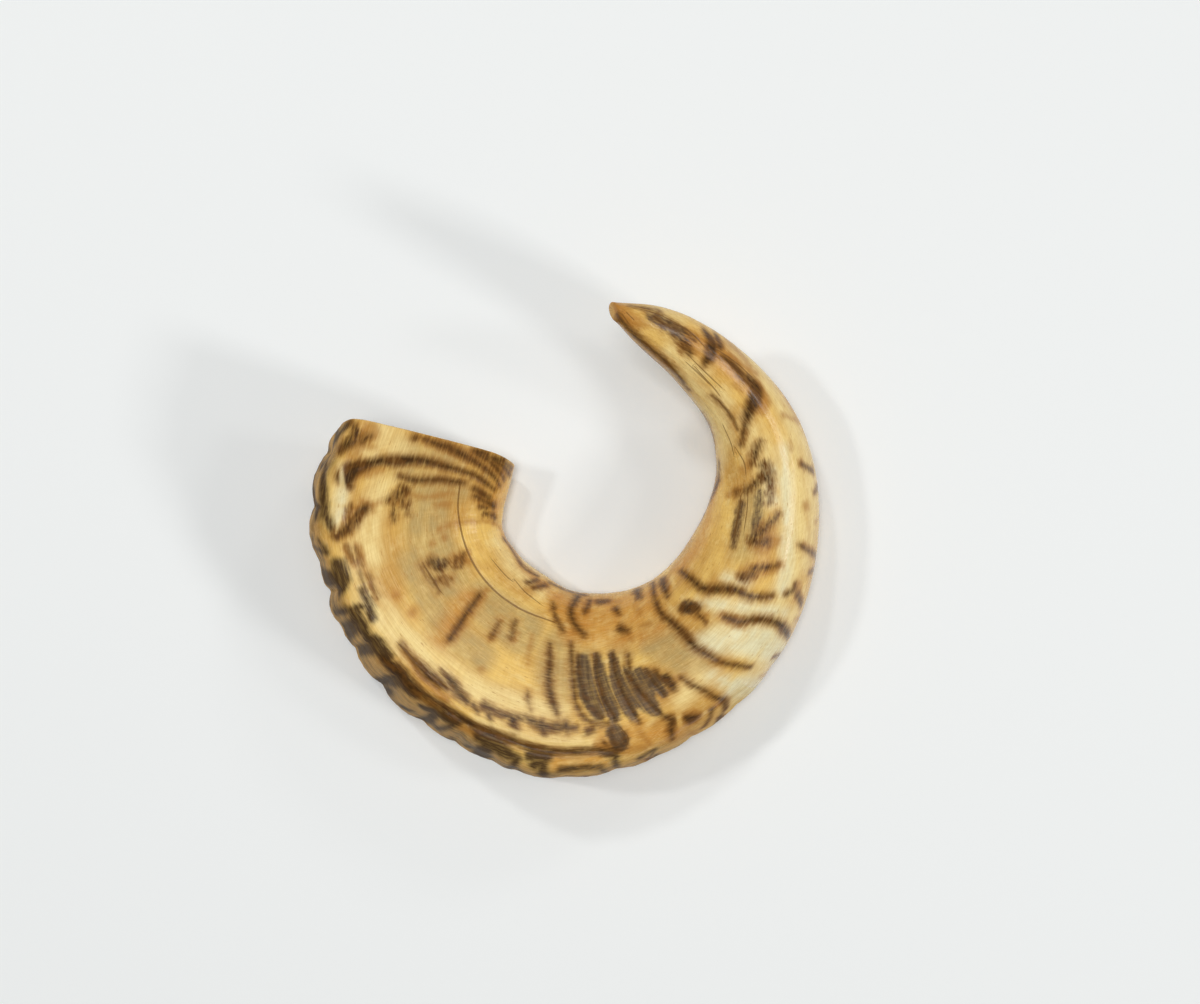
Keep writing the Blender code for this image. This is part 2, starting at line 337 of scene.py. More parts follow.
def nearLine(line, halfWidths, margin):
    # vertices near a line, how far inside its width each is, and on which side
    low = line.min(axis=0) - halfWidths.max() - margin
    high = line.max(axis=0) + halfWidths.max() + margin
    near = np.where(np.all((skin > low) & (skin < high), axis=1))[0]
    points = skin[near]
    best = np.full(len(near), -1e9)
    side = np.zeros(len(near))
    if len(line) == 1:
        line, halfWidths = np.vstack([line, line + 1e-3]), np.repeat(halfWidths, 2)
    for a, b, wa, wb in zip(line, line[1:], halfWidths, halfWidths[1:]):
        step = b - a
        t = np.clip(((points - a) @ step) / max(step @ step, 1e-12), 0, 1)
        off = points - (a + t[:, None] * step)
        inside = wa + (wb - wa) * t - np.linalg.norm(off, axis=1)
        better = inside > best
        best = np.where(better, inside, best)
        hand = np.sum(off * np.cross(normals[near], step), axis=1)
        side = np.where(better, np.sign(hand), side)
    return near, best, side


def drawn(strokes, widen=1.0, empty=-4.0):
    # how far inside the strokes each vertex is, in mm, and less than nothing outside them
    field = np.full(len(skin), empty)
    for stroke in strokes:
        line = smoothLine(stroke)
        halfWidths = np.maximum(line[:, 2], 0.5) * pixel * widen / 2
        near, inside, side = nearLine(ontoSkin(line[:, :2]), halfWidths, 4)
        field[near] = np.maximum(field[near], inside)
    return field


def drawOnForm(field, strokes):
    # strokes given on the form itself: (place, turn, width in mm), a turn counting as 8 mm
    for stroke in strokes:
        line = smoothLine(np.array(stroke) * (1, 8, 1), 2.0) / (1, 8, 1)
        onIt = hornPoints(np.clip(line[:, 0], 0, hornLength), line[:, 1] % turnCount)
        near, inside, side = nearLine(onIt, np.maximum(line[:, 2], 0.3) / 2, 4)
        field[near] = np.maximum(field[near], inside)


# The marks, each a stroke of (x, y, width) in the view from above
darkStrokes = [
    # the base
    [(346,476,16), (355,468,13), (370,464,8), (382,461,8), (397,461,9), (412,460,8), (428,462,7),
     (443,466,6), (458,470,5), (474,475,5), (486,483,4.5), (495,490,3.5)], [(345,480,10), (350,486,5)],
    [(400,476,3.5), (412,480,5), (428,480,4.5), (443,480,4.5), (463,483,4)], [(415,438,6)],
    [(422,438,2.5), (437,444,5.5), (452,449,7), (474,461,6), (487,470,5), (495,478,4.5), (500,486,3)],
    [(475,451,6), (487,455,6)], [(487,457,5), (504,461,6)],
    [(478,454,5), (489,461,5), (500,472,4.5), (504,480,3)], [(489,457,4), (503,466,5), (510,475,3.5)],
    [(501,460,4), (512,469,4)], [(475,489,5), (489,498,6)], [(475,496,4), (494,506,5.5)],
    [(480,506,3), (487,508,3.5)], [(484,513,3), (494,516,4)], [(495,518,4)],
    [(352,424,5), (356,431,8), (352,441,9), (340,449,8)], [(369,436,5), (362,441,6)],
    [(402,487,6), (402,507,3.5)], [(394,499,4), (394,520,4)], [(408,493,3), (408,514,3)],
    [(388,500,6), (397,496,9), (406,490,7)], [(336,536,8), (347,529,9), (357,517,9), (365,508,8)],
    # the inner edge and its curl
    [(504,539,3), (509,545,3), (523,566,3), (537,576,3)], [(550,583,3), (566,590,3.5), (584,595,4)],
    [(553,604,3), (555,616,3), (563,631,3)], [(578,596,5), (571,610,5), (574,623,5), (584,635,4)],
    [(590,600,3), (585,612,3)], [(599,602,7), (607,601,4)], [(616,609,5), (619,614,3)],
    [(637,590,7), (639,598,5)], [(662,580,7), (667,596,4)], [(528,583,4), (537,580,4)],
    [(534,588,4), (545,585,4)], [(621,629,7), (627,631,4)],
    # the upper face
    [(432,562,8), (440,567,9), (446,562,6)], [(463,554,3), (461,566,3)], [(456,558,3), (455,568,3)],
    [(441,577,3), (450,580,3)], [(480,594,4), (471,607,5), (465,616,4.5), (450,639,5)],
    [(515,621,3), (513,628,4), (511,637,4)], [(499,623,3), (492,636,3)], [(346,545,1.5), (354,562,1.5)],
    [(356,548,1), (362,566,1)], [(368,575,1), (378,598,1)], [(420,566,1.2), (429,579,1.6), (438,592,1)],
    [(434,580,1), (448,584,1.5)], [(345,508,1), (346,524,1)], [(351,504,1), (352,518,1)],
    [(357,560,1), (365,590,1)], [(528,692,1), (528,700,1.6), (531,709,1)],
    [(550,644,3), (550,663,5), (549,683,6), (552,700,6), (557,713,3.5)],
    [(571,644,3), (572,667,3.5), (574,690,4), (577,706,3.5), (586,719,3.5), (599,725,3.5), (608,723,3)],
    [(434,583,3), (434,586,2)], [(441,670,2), (452,683,8), (458,692,8), (467,702,5)],
    # along the crest
    [(401,645,3), (412,658,4), (427,673,9), (438,682,8), (446,688,5)],
    [(484,706,7), (500,714,6), (513,717,5), (527,719,5), (544,727,8), (563,727,7), (576,728,4)],
    [(489,716,5), (491,724,3)], [(513,720,9), (515,731,6)], [(541,724,8), (544,732,6)],
    [(566,725,7), (567,731,4)], [(588,731,6), (593,729,4)], [(473,705,4), (478,712,3)],
    # the groove below the crest
    [(385,660,10), (400,676,10), (416,690,9), (435,703,8), (454,714,8), (477,728,8), (502,737,7),
     (530,747,7), (559,752,6.5), (588,751,6.5), (604,751,5), (613,752,3)],
    # the bend
    [(681,678,3), (692,685,3.5), (703,690,4), (715,697,5), (724,701,7), (726,710,6)],
    [(712,709,5), (709,718,4), (703,727,4)], [(604,742,3), (610,748,4), (622,750,3)],
    [(653,583,3), (655,599,3.5), (662,614,5), (674,624,6), (685,635,7), (694,646,6), (708,655,5),
     (721,662,4), (735,665,4), (751,667,3)],
    [(681,571,4), (692,580,6), (705,589,7), (721,589,7), (735,590,7), (747,595,5.5), (760,597,5),
     (772,596,4)],
    [(724,617,4), (731,619,5), (739,622,5), (753,620,6), (767,620,6), (779,624,7), (786,632,8), (789,637,6)],
    [(684,608,9), (697,608,8)], [(698,614,4), (706,622,2)],
    [(665,717,5), (672,720,8), (671,730,6), (672,739,4)], [(686,718,6), (691,719,10), (697,717,6)],
    [(666,678,8), (673,687,8)], [(656,672,4), (660,678,4)], [(743,577,8), (753,574,6)],
    [(752,569,5), (768,567,5), (778,565,3)], [(795,584,3.5), (793,590,4), (786,594,3.5)],
    [(797,594,6), (802,605,5)],
    # the arm
    [(800,545,3), (817,556,4)], [(801,464,3), (813,471,4)], [(760,442,4), (756,452,7), (753,463,5)],
    [(764,465,8), (767,472,11), (760,480,8), (746,491,5)], [(769,470,6), (770,488,5), (769,502,4)],
    [(737,492,5)], [(778,514,4), (770,523,6), (758,535,6)], [(752,541,8), (766,542,8)],
    [(741,502,1.2), (737,522,1.2), (733,547,2)], [(719,480,4), (716,486,6), (712,497,4)],
    # the tip
    [(612,318,3), (620,321,3)], [(630,306,2), (648,309,2.5), (660,312,2)],
    [(668,322,3), (682,330,4), (695,339,3)], [(676,334,6), (684,343,10), (690,353,6)],
    [(704,330,4), (711,341,10), (711,352,12), (706,362,7)], [(716,335,5), (720,346,7)],
    [(721,356,4), (733,365,6), (741,375,7), (748,382,6)],
    [(748,378,7), (756,389,12), (754,401,13), (749,412,9), (745,426,5), (741,445,3)],
    [(656,318,3), (664,326,5)], [(667,324,3), (677,333,6)],
    [(712,396,1.4), (721,405,2), (730,416,2), (737,430,1)], [(719,462,2), (719,477,2.5)],
    [(617,316,5), (627,327,4), (639,339,6), (653,351,4.5), (665,361,5), (677,374,4), (688,389,3)],
    [(700,411,2), (708,426,2.5), (713,444,2)], [(716,468,2), (716,484,2.5), (711,500,2)],
]
rustStrokes = [
    [(346,545,3), (355,565,3)], [(358,550,2.5), (361,561,2)], [(372,429,7), (378,432,4)],
    [(469,552,3), (468,562,3)], [(610,303,8), (618,311,14), (630,318,12), (645,325,6)],
    [(418,437,7), (440,444,10), (462,452,12), (485,462,12), (505,472,8)],
    [(434,438,3), (446,441,3), (458,444,3)], [(370,432,16), (352,452,12)], [(372,447,8)],
    [(369,506,2), (388,501,2)], [(409,495,4), (428,497,4.5), (452,493,4)], [(437,505,4), (449,504,5)],
    [(438,530,3.5), (451,524,3.5), (463,522,3), (477,521,3), (489,522,3), (500,527,3)], [(445,538,5)],
    [(432,544,4)], [(396,595,5)], [(413,612,6)], [(481,669,5)], [(357,545,4), (371,588,4)],
    [(345,547,4), (354,565,3)], [(368,579,3), (377,597,3)], [(405,652,6), (420,672,7), (436,688,6)],
    [(433,690,4), (446,698,4)], [(455,560,11), (466,560,10)], [(443,580,8), (452,578,6)],
    [(487,590,5), (478,602,4)], [(502,618,3), (491,640,3)], [(531,637,3), (528,664,3)],
    [(517,634,3), (514,640,4)], [(461,728,8), (477,734,7)], [(590,601,5), (606,602,5), (619,602,4)],
    [(584,612,4), (586,603,5)], [(615,608,5), (618,613,4)], [(636,605,4), (640,614,5)],
    [(622,628,8), (632,640,3)], [(640,626,4), (650,624,3)], [(668,590,6), (664,580,6)],
    [(690,606,10), (705,620,5)], [(700,615,4), (712,615,3), (724,614,4)],
    [(745,572,12), (765,570,12), (780,565,5)], [(798,585,8), (800,600,7)], [(805,545,5), (812,550,5)],
    [(800,463,6)], [(806,506,8)], [(790,441,3), (791,449,3)], [(783,415,4), (798,421,4)],
    [(775,540,8), (758,546,14), (768,528,8)], [(728,495,6), (738,490,6)], [(716,487,6), (713,495,5)],
    [(762,392,8), (768,402,6), (758,408,12)], [(730,355,6), (745,367,6), (756,373,5)],
    [(735,385,3), (742,392,4)], [(684,345,12), (697,352,6)], [(712,350,15)],
    [(645,314,5), (662,321,8), (682,331,9), (700,342,8)], [(745,430,5), (742,440,4)],
    [(618,318,5), (632,325,4)], [(758,386,10), (766,402,8), (762,414,4)], [(606,303,6), (612,312,8)],
    [(728,342,8), (738,352,9), (750,366,7)], [(598,746,8), (624,749,10), (644,748,6)],
    [(740,578,5), (752,572,8), (768,568,8), (782,565,4)], [(762,530,14), (770,545,8)],
    [(744,312,3), (740,330,3)], [(788,398,3), (792,408,3)], [(640,732,5), (650,745,4)],
    [(655,725,4), (662,722,3)], [(672,730,10)], [(692,718,16)], [(718,703,9)], [(742,623,9), (730,620,8)],
    [(574,618,9)], [(527,590,5), (545,584,6)], [(481,500,9), (490,503,7)], [(500,468,8), (492,462,8)],
    [(380,470,8), (352,472,14)], [(339,533,10), (364,505,10)], [(397,500,12), (404,498,10)],
    [(449,640,6), (470,612,5)], [(744,470,6), (752,458,8)],
]
slateStrokes = [
    [(582,659,7), (585,676,12), (590,696,13), (599,714,8)],
    [(597,656,3), (600,676,10), (606,696,13), (614,716,8)],
    [(612,655,4), (616,676,9), (623,697,12), (633,716,6)],
    [(625,671,5), (633,685,14), (644,699,14), (657,712,6)], [(646,672,4), (654,682,9), (664,694,5)],
    [(664,680,7)], [(592,684,6), (600,704,7)], [(624,684,7), (634,704,7)], [(638,674,8), (650,692,8)],
    [(688,607,9)], [(742,505,4), (737,522,5), (733,545,3)], [(760,492,4), (757,515,5), (753,535,3)],
    [(650,316,5), (665,323,8), (680,333,8)], [(614,732,10), (620,742,12)], [(440,563,6)],
]
slateLines = [
    [(578,656,3), (580,676,3), (585,695,3), (593,710,3), (603,719,3)],
    [(595,655,3.5), (597,676,4), (603,699,4), (614,719,4)],
    [(612,655,4), (615,674,4), (622,692,4), (630,708,4), (639,722,4)], [(628,655,3.5), (629,668,3)],
    [(624,669,3), (634,684,4), (646,700,3.5), (658,712,3.5), (668,718,3)],
    [(646,670,3), (654,683,3), (664,695,3)],
    [(612,727,3), (611,738,3), (617,746,3), (625,743,3), (624,733,3)],
]
# pale strips that stay clear of ink: ridge tops with light on them
paleStrokes = [
    [(341,437,4), (348,434,4)], [(341,466,4), (342,482,6), (342,502,6), (339,520,4), (336,533,3)],
    [(340,461,7), (330,464,5)],
    [(451,700,4), (478,719,5), (505,728,5), (532,738,6), (560,743,7), (590,742,7)],
    [(591,660,1.6), (594,680,1.2), (600,698,1), (607,714,0.8)],
    [(607,658,3), (608,676,1.2), (614,695,1), (624,713,0.8)],
    [(620,655,3), (623,672,1.8), (632,692,1.2), (646,712,0.8)], [(641,655,3), (650,662,3)],
    [(678,712,6), (680,726,5)], [(705,712,6)],
]
frontPatches = [
    [(338,566,12), (340,580,15), (336,592,9)], [(355,612,10), (358,624,15), (366,633,8)],
    [(362,590,5), (368,605,7), (372,618,6)], [(368,640,12), (376,646,15), (388,656,9)],
    [(393,668,12), (402,680,17), (414,692,11)], [(424,708,10), (436,713,10)], [(440,714,10), (456,722,8)],
    [(482,736,11), (492,742,15), (500,747,10)], [(465,745,5), (480,749,6)], [(500,750,10), (518,757,7)],
    [(530,755,10), (545,757,10), (534,765,7)], [(319,456,7), (314,476,10), (314,498,11), (317,516,7)],
    [(326,462,5), (323,486,8), (323,508,8), (331,528,5)], [(320,540,4), (326,552,4)],
    [(315,528,3), (316,540,3)], [(333,443,8), (338,436,8), (347,426,7)], [(328,455,5), (322,468,6)],
    [(602,753,5), (616,756,6)], [(560,770,5), (600,766,4)], [(640,757,5), (654,750,4)],
]

dark = np.maximum(drawn(darkStrokes, 1.2), drawn(slateLines))
rust = drawn(rustStrokes, 1.25)
slate = drawn(slateStrokes, 1.5)
pale = drawn(paleStrokes)
blots = drawn(frontPatches, 1.35, -9.0)
print("marks drawn")

# The front's dark patches go on down to the keel, and the underside has marks of its own
chance = np.random.default_rng(8)
downFront = []
for patch in frontPatches:
    x, y, width = patch[len(patch) // 2]
    near = np.argmin(np.sum((skin - ontoSkin([(x, y)])[0]) ** 2, axis=1))
    at, broad = placeList[near], width * pixel
    run = [(at, turnList[near], broad), (at + chance.uniform(-5, 3), 8.3, broad * chance.uniform(0.6, 1.5))]
    if chance.uniform() > 0.4:
        run.append((at + chance.uniform(-10, 4), chance.uniform(9.0, 10.0), broad * chance.uniform(0.3, 1.3)))
    downFront.append(run)
for at in np.arange(24, 310, 8.0):
    start, reach, lean = chance.uniform(7.3, 9.0), chance.uniform(0.4, 1.5), chance.uniform(-9, 3)
    broad = chance.uniform(1.0, 4.6)
    at = at + chance.uniform(-4, 4)
    downFront.append([
        (at, start, broad * 0.4), (at + lean * 0.5, start + reach / 2, broad),
        (at + lean, start + reach, broad * 0.3),
    ])
drawOnForm(blots, downFront)
underMarks = []
for at in np.arange(24, 470, 8.5):
    at = at + chance.uniform(-4, 4)
    start = chance.uniform(9.4, 13.2)
    run = chance.uniform(0.5, 1.9)
    broad = chance.uniform(1.0, 3.6) * (0.6 if at > 330 else 1.0)
    slant = chance.uniform(4, 14)
    underMarks.append([
        (at, start, broad * 0.5), (at - slant * 0.5, start + run / 2, broad),
        (at - slant, min(start + run, 14.6), broad * 0.4),
    ])
sideMarks = []
for at in np.arange(215, 400, 17):
    at = at + chance.uniform(-5, 5)
    sideMarks.append([(at, 7.4, 1.0), (at + 2, 8.6, chance.uniform(1.2, 3.0)), (at - 2, 9.8, 1.0)])
underTip = [
    (340,0.12,0.9), (352,0.1,1.6), (366,0.05,0.8), (390,0.05,1), (425,0.05,1.2), (455,0.05,1.2), (486,0.1,1),
]
drawOnForm(dark, underMarks[::2] + [underTip] + sideMarks[::2])
drawOnForm(rust, underMarks[1::2] + sideMarks)

# Soft patches of colour: (x, y, width) as strokes with wide, soft edges. The cream patches are partly painted
# light and the highlight patches are painted highlights
orangePatches = [
    [(560,606,20), (600,622,30), (650,612,26)], [(570,634,16), (620,640,18), (660,628,12)],
    [(616,306,12), (626,316,12)], [(640,730,20), (610,745,18)],
    [(505,532,8), (522,562,8), (560,604,26), (575,612,26)], [(592,606,30), (620,605,36), (648,600,30)],
    [(404,658,12), (422,676,12), (442,690,8)], [(350,548,6), (362,590,8), (380,620,8)],
    [(556,764,16), (600,762,16)], [(650,735,22), (690,735,14)], [(716,480,12), (700,540,16), (680,565,14)],
    [(640,740,12), (600,735,10)], [(690,340,20), (740,370,22), (762,400,16)], [(618,312,12), (630,320,10)],
    [(470,600,20), (440,640,16)], [(318,530,10)], [(500,480,16), (495,510,16)], [(396,595,8)], [(413,612,8)],
]
greyPatches = [
    [(425,500,40), (430,540,44), (450,580,40)], [(480,600,40), (520,630,44)],
    [(560,650,40), (560,680,36), (590,660,24)], [(410,560,20), (440,620,26), (480,655,26)],
    [(405,450,16), (450,458,20)], [(655,640,34), (690,655,36), (715,640,26)], [(735,620,12), (750,610,10)],
    [(752,500,26), (750,530,30), (742,550,20)], [(655,316,14), (680,335,14)], [(400,470,18), (460,490,18)],
    [(620,650,24)], [(448,716,8)], [(616,738,14)],
]
# cream: partly the horn's own cream tone, partly painted light: painted sheen along the crests and the arm's
# crest, and painted lightening on the shaded inner side of the arm
creamAndPaintedLightPatches = [
    [(385,436,26), (400,450,22)], [(341,480,10), (338,520,9)], [(380,485,18), (370,520,20), (372,556,20)],
    [(352,550,14), (366,590,20), (384,618,24), (408,644,26), (440,668,24), (480,692,22), (520,705,20),
     (560,712,16)], [(478,720,6), (530,739,8), (590,743,8)], [(720,635,20), (765,645,34), (745,690,26)],
    [(795,440,22), (800,500,24), (795,560,24), (775,610,22)], [(715,400,24), (725,440,16)],
    [(700,375,16), (670,350,10)], [(740,330,6), (770,375,14)], [(680,320,8), (655,308,8)],
    [(548,560,10), (530,560,14)], [(497,540,12), (513,570,14), (540,592,10)],
    [(735,350,10), (768,385,16), (790,420,20), (806,460,24), (812,510,24), (806,560,22)],
    [(745,420,12), (770,500,10)], [(760,440,14), (775,480,12)], [(790,620,26), (770,660,30), (735,700,26)],
    [(676,372,10), (696,390,18), (708,412,26), (720,440,22), (718,470,12)], [(374,455,16), (362,450,8)],
    [(755,432,12)], [(720,605,10), (760,607,12)], [(680,700,12), (700,680,20)], [(820,520,10), (815,450,10)],
]
# painted highlights: whitish glints painted on the arm's crest, on the bend and on the left crest
paintedHighlightPatches = [
    [(700,645,12), (735,640,24), (765,644,30), (784,655,18)], [(735,688,24), (756,688,22)],
    [(783,452,8), (786,500,9), (787,560,9), (782,590,8)],
    [(700,603,5), (730,606,7), (762,610,8), (784,612,6)], [(343,468,3), (345,478,6)],
    [(344,489,6), (342,500,5)], [(341,511,6), (337,522,4)], [(712,676,8), (730,684,10)],
    [(728,578,5), (745,582,5)], [(772,470,8), (774,500,8)],
]
# where the dark marks lie thin and broken, as from a dry brush
dryPatches = [
    [(755,440,22), (758,480,40), (752,540,44), (760,575,26)], [(395,490,22), (402,515,30)], [(445,570,34)],
    [(640,312,18), (690,345,26)], [(355,435,26)], [(350,520,26)], [(560,680,20)], [(505,630,24)],
    [(800,590,16)],
]


def softly(patches):
    return 1 - easeOut(drawn(patches, 1.0, -9.0), -4.5, 3.0)


softOrange, softGrey, softCreamAndPaintedLight, softPaintedHighlight, softDry = (
    softly(patches) for patches in (orangePatches, greyPatches, creamAndPaintedLightPatches, paintedHighlightPatches, dryPatches))

# Fine cracks, kept as a distance with a side so that they stay thin and unbroken
crackLines = [
    [(460,484,1.4), (458,507,1.5), (461,530,1.6), (467,550,1.7), (478,571,1.8), (494,590,1.8), (512,604,1.7),
     (529,613,1.6), (554,622,1)], [(425,567,1.5), (434,581,2), (440,591,1)],
    [(515,580,0.6), (525,592,1), (540,604,0.6)], [(492,560,0.6), (505,575,0.9), (512,581,0.6)],
    [(400,645,1.5), (412,658,2), (425,671,1)], [(716,349,0.5), (735,362,1), (752,377,0.6)],
    [(640,309,0.6), (662,316,1.2), (690,332,1.4), (705,347,0.8)],
    [(690,357,0.5), (705,372,1), (722,388,0.5)], [(686,362,0.5), (702,377,0.9), (716,390,0.5)],
    [(735,447,0.5), (744,462,0.9), (746,474,0.5)], [(694,366,0.5), (712,386,1), (720,396,0.5)],
    [(626,312,0.8), (634,320,0.8)], [(622,314,0.8), (629,324,0.8)],
    [(723,425,0.6), (731,443,0.8), (734,455,0.5)], [(741,495,0.8), (738,515,1.1), (733,540,0.6)],
    [(748,490,0.5), (747,510,0.9), (744,530,0.5)], [(620,727,0.8), (628,738,1.6), (626,747,0.8)],
]
crackSide = np.full(len(skin), 3.0)
crackHalf = np.full(len(skin), -1.0)
crackBest = np.full(len(skin), -1e9)
for crackLine in crackLines:
    line = smoothLine(crackLine)
    onIt = ontoSkin(line[:, :2])
    near, inside, side = nearLine(onIt, np.zeros(len(line)), 3)
    closest = np.argmin(np.linalg.norm(skin[near][:, None] - onIt[None], axis=2), axis=1)
    better = (inside > crackBest[near]) & (inside > -2.5)
    chosen = near[better]
    crackBest[chosen] = inside[better]
    crackSide[chosen] = (-inside * np.where(side == 0, 1, side))[better]
    crackHalf[chosen] = (line[:, 2] * pixel / 2)[closest][better]

# Relief, in mm out from the form: the height, pitch and seed of each kind of unevenness
hornRelief = {
    "growthLines": (0.14, 2.4, 21), "fineLines": (0.05, 1.2, 22), "swells": (0.45, 17.0, 31),
    "dents": (0.22, 6.0, 41), "fibres": (0.07, 1.3, 51),
}


def uneven(kind, waves, over):
    height, pitch, seed = hornRelief[kind]
    return height * waves(over, pitch, seed)


rise = ridgeRise(placeList) * section[:, 2]
frontal = easeOut(turnList, 9.8, 11.0) * (1 - easeOut(turnList, 5.8, 7.0))
upper = easeOut(turnList, 5.6, 6.6) * (1 - easeOut(turnList, 0.3, 1.4))
nearBase = easeOut(placeList, 180, 330)
rise += uneven("growthLines", wobble, growth) * (0.2 + 0.6 * frontal) * (0.35 + nearBase)
rise += uneven("fineLines", wobble, growth) * (0.3 + frontal) * (0.3 + nearBase)
rise += uneven("swells", lumps, straight) * (0.35 + frontal * nearBase)
rise += uneven("dents", lumps, straight) * (0.15 + frontal * nearBase)
rise += uneven("fibres", wobble, straight[:, 1] + 0.3 * straight[:, 2]) * upper

# grooves, or ridges where the depth is less than nothing: depth, breadth and lines
grooves = [
    (0.30, 2.2, [darkStrokes[0]]),
    (0.15, 1.5, [darkStrokes[2]]),
    (0.85, 2.6, [[
        (416,689), (435,703), (454,714), (477,728), (502,737), (530,747), (559,752), (588,751), (613,751),
    ]]),
    (-0.35, 2.4, [[(438,696), (460,711), (484,724), (510,732), (540,741), (575,743)]]),
    (0.35, 1.8, [[(401,645), (412,658), (427,673), (446,689)]]),
    (0.12, 1.1, [crackLines[0]]),
    (0.55, 1.2, [[(712,396), (721,405), (730,416), (737,430)]]),
    (-0.35, 5, [[(735,402), (731,412)]]),
    (-0.6, 3.5, [[(342,476), (340,500), (338,522)]]),
    (0.7, 3.0, [[(326,466), (324,490), (326,512)]]),
    (-0.7, 4.0, [[(315,526)]]),
    (0.12, 1.6, darkStrokes[13:15]),
    (0.22, 2.0, [
        [(681,571), (705,589), (735,590), (772,596)], [(655,599), (674,624), (694,646), (735,665)],
    ]),
    (0.2, 2.0, [[(724,617), (753,620), (786,632)]]),
    (-0.30, 1.2, [
        [(590,655), (590,676), (597,699), (608,719)], [(604,655), (607,674), (614,694), (626,715)],
    ]),
    (0.28, 1.2, slateLines[1:6]),
    (0.2, 1.2, [[(571,644), (572,667), (574,690), (577,706), (586,719), (608,723)]]),
]
for depth, broad, lines in grooves:
    for stroke in lines:
        spots = ontoSkin(smoothLine(stroke)[:, :2])
        near, inside, side = nearLine(spots, np.zeros(len(spots)), broad)
        rise[near] -= depth * np.exp(-(np.minimum(inside, 0) / broad * 1.6) ** 2)

# the skin stands higher on one side of the long crack, and eases back over the ledge's reach
ledge = {"height": 0.18, "reach": 12, "line": [
    (460,484), (458,507), (461,530), (467,550), (478,571), (494,590), (512,604), (529,613), (556,622),
]}
spots = ontoSkin(smoothLine(ledge["line"]))
near, inside, side = nearLine(spots, np.zeros(len(spots)), ledge["reach"])
onSide = np.clip(side * -inside / 0.7 + 0.5, 0, 1)
fromEnds = np.minimum(*(np.linalg.norm(skin[near] - end, axis=1) for end in (spots[0], spots[-1])))
rise[near] += ledge["height"] * onSide * easeOut(-inside, 0.3, ledge["reach"]) * (1 - easeOut(fromEnds, 0, 6))

skin = skin + normals * rise[:, None]
normals = skinNormals(skin)
print("relief pressed")

# The whole grid, from the end of the hollow out over the saw cut to the tip
deep = hornForm["cavityDepth"]
cavityShare = np.sin(0.5 * np.pi * np.linspace(1, 0, hornForm["cavityRows"]))[:, None]
cavityPlaces = sawnInside + (deep - sawnInside) * cavityShare
cavityTurns = np.broadcast_to(turnKnots, cavityPlaces.shape)
cavity = cavityPoints(cavityPlaces.ravel(), cavityTurns.ravel()).reshape(*cavityPlaces.shape, 3)
rough = wobble(cavityPlaces + cavityTurns * 3, 2.3, 61) + wobble(cavityTurns * 4.1, 1, 62)
fading = np.linspace(1, 0, hornForm["cavityRows"])[:, None, None] ** 0.2
outwards = unit(cavity - cavity.mean(axis=1, keepdims=True))
cavity = cavity + outwards * (rough[..., None] * hornForm["cavityRoughness"]) * fading
cavity[0] = cavity[0].mean(axis=0)


def ontoSaw(points):
    return points - sawDistance(points)[:, None] * sawNormal


outer = skin.reshape(*shape, 3)
innerRim = ontoSaw(cavity[-1])
outerRim = ontoSaw(outer[0] - normals.reshape(*shape, 3)[0] * rim)
cavity = cavity[:-1]
steps = np.linspace(0, 1, hornForm["sawRows"] + 1)[:, None, None]
sawFace = innerRim[None] * (1 - steps) + outerRim[None] * steps
tipEnd = outer[-1]
tipMiddle = tipEnd[:-1].mean(axis=0)
tipWay = frameAt(np.array([hornLength]))[3][0]
tipRows = [tipMiddle + (tipEnd - tipMiddle) * size + tipWay * (hornForm["tipDome"] * out)
           for size, out in hornForm["tipRows"]]
allRows = np.concatenate([cavity, sawFace, outer, np.array(tipRows)])
allRows[..., 2] = np.maximum(allRows[..., 2], hornForm["restLevel"])
allRows = (allRows - np.array(hornForm["shift"])) * 0.001
rowCount = len(allRows)
firstOuter = len(cavity) + len(sawFace)


def overAllRows(*values, before=(0, 0, 0)):
    # three values of the skin, carried over to every row of the grid, with others before the skin begins
    onSkin = np.stack(values, axis=1).reshape(*shape, 3)
    atStart = np.broadcast_to(np.array(before, dtype=float), (firstOuter, columns + 1, 3))
    return np.concatenate([atStart, onSkin, np.repeat(onSkin[-1:], len(tipRows), axis=0)])


bpy.ops.object.select_all(action="DESELECT")
bpy.ops.mesh.primitive_grid_add(x_subdivisions=columns, y_subdivisions=rowCount - 1, size=2)
horn = bpy.context.active_object
horn.name = "polishedHorn"
horn.data.name = "polishedHorn"
mesh = horn.data
flat = np.empty(len(mesh.vertices) * 3, dtype=np.float32)
mesh.vertices.foreach_get("co", flat)
flat = flat.reshape(-1, 3)
columnOf = np.rint((flat[:, 0] + 1) / 2 * columns).astype(int)
rowOf = np.rint((flat[:, 1] + 1) / 2 * (rowCount - 1)).astype(int)
mesh.vertices.foreach_set("co", allRows[rowOf, columnOf].astype(np.float32).ravel())


def attribute(name, values):
    made = mesh.attributes.new(name, "FLOAT_VECTOR", "POINT")
    made.data.foreach_set("vector", values[rowOf, columnOf].astype(np.float32).ravel())


straightRows = overAllRows(*straight.T)
straightRows[:firstOuter] = allRows[:firstOuter] * 1000
attribute("straight", straightRows)
attribute("inks", overAllRows(dark, rust, slate, before=(-4, -4, -4)))
# the third value is the cream, partly the horn's own tone and partly painted light
attribute("patches", overAllRows(softOrange, softGrey, softCreamAndPaintedLight))
attribute("cracks", overAllRows(crackSide, crackHalf, pale, before=(3, -1, -4)))
# the second value of blots is the share of the painted highlights
attribute("blots", overAllRows(blots, softPaintedHighlight, np.zeros(len(skin)), before=(-9, 0, 0)))
attribute("growth", overAllRows(growth, frontal, softDry))

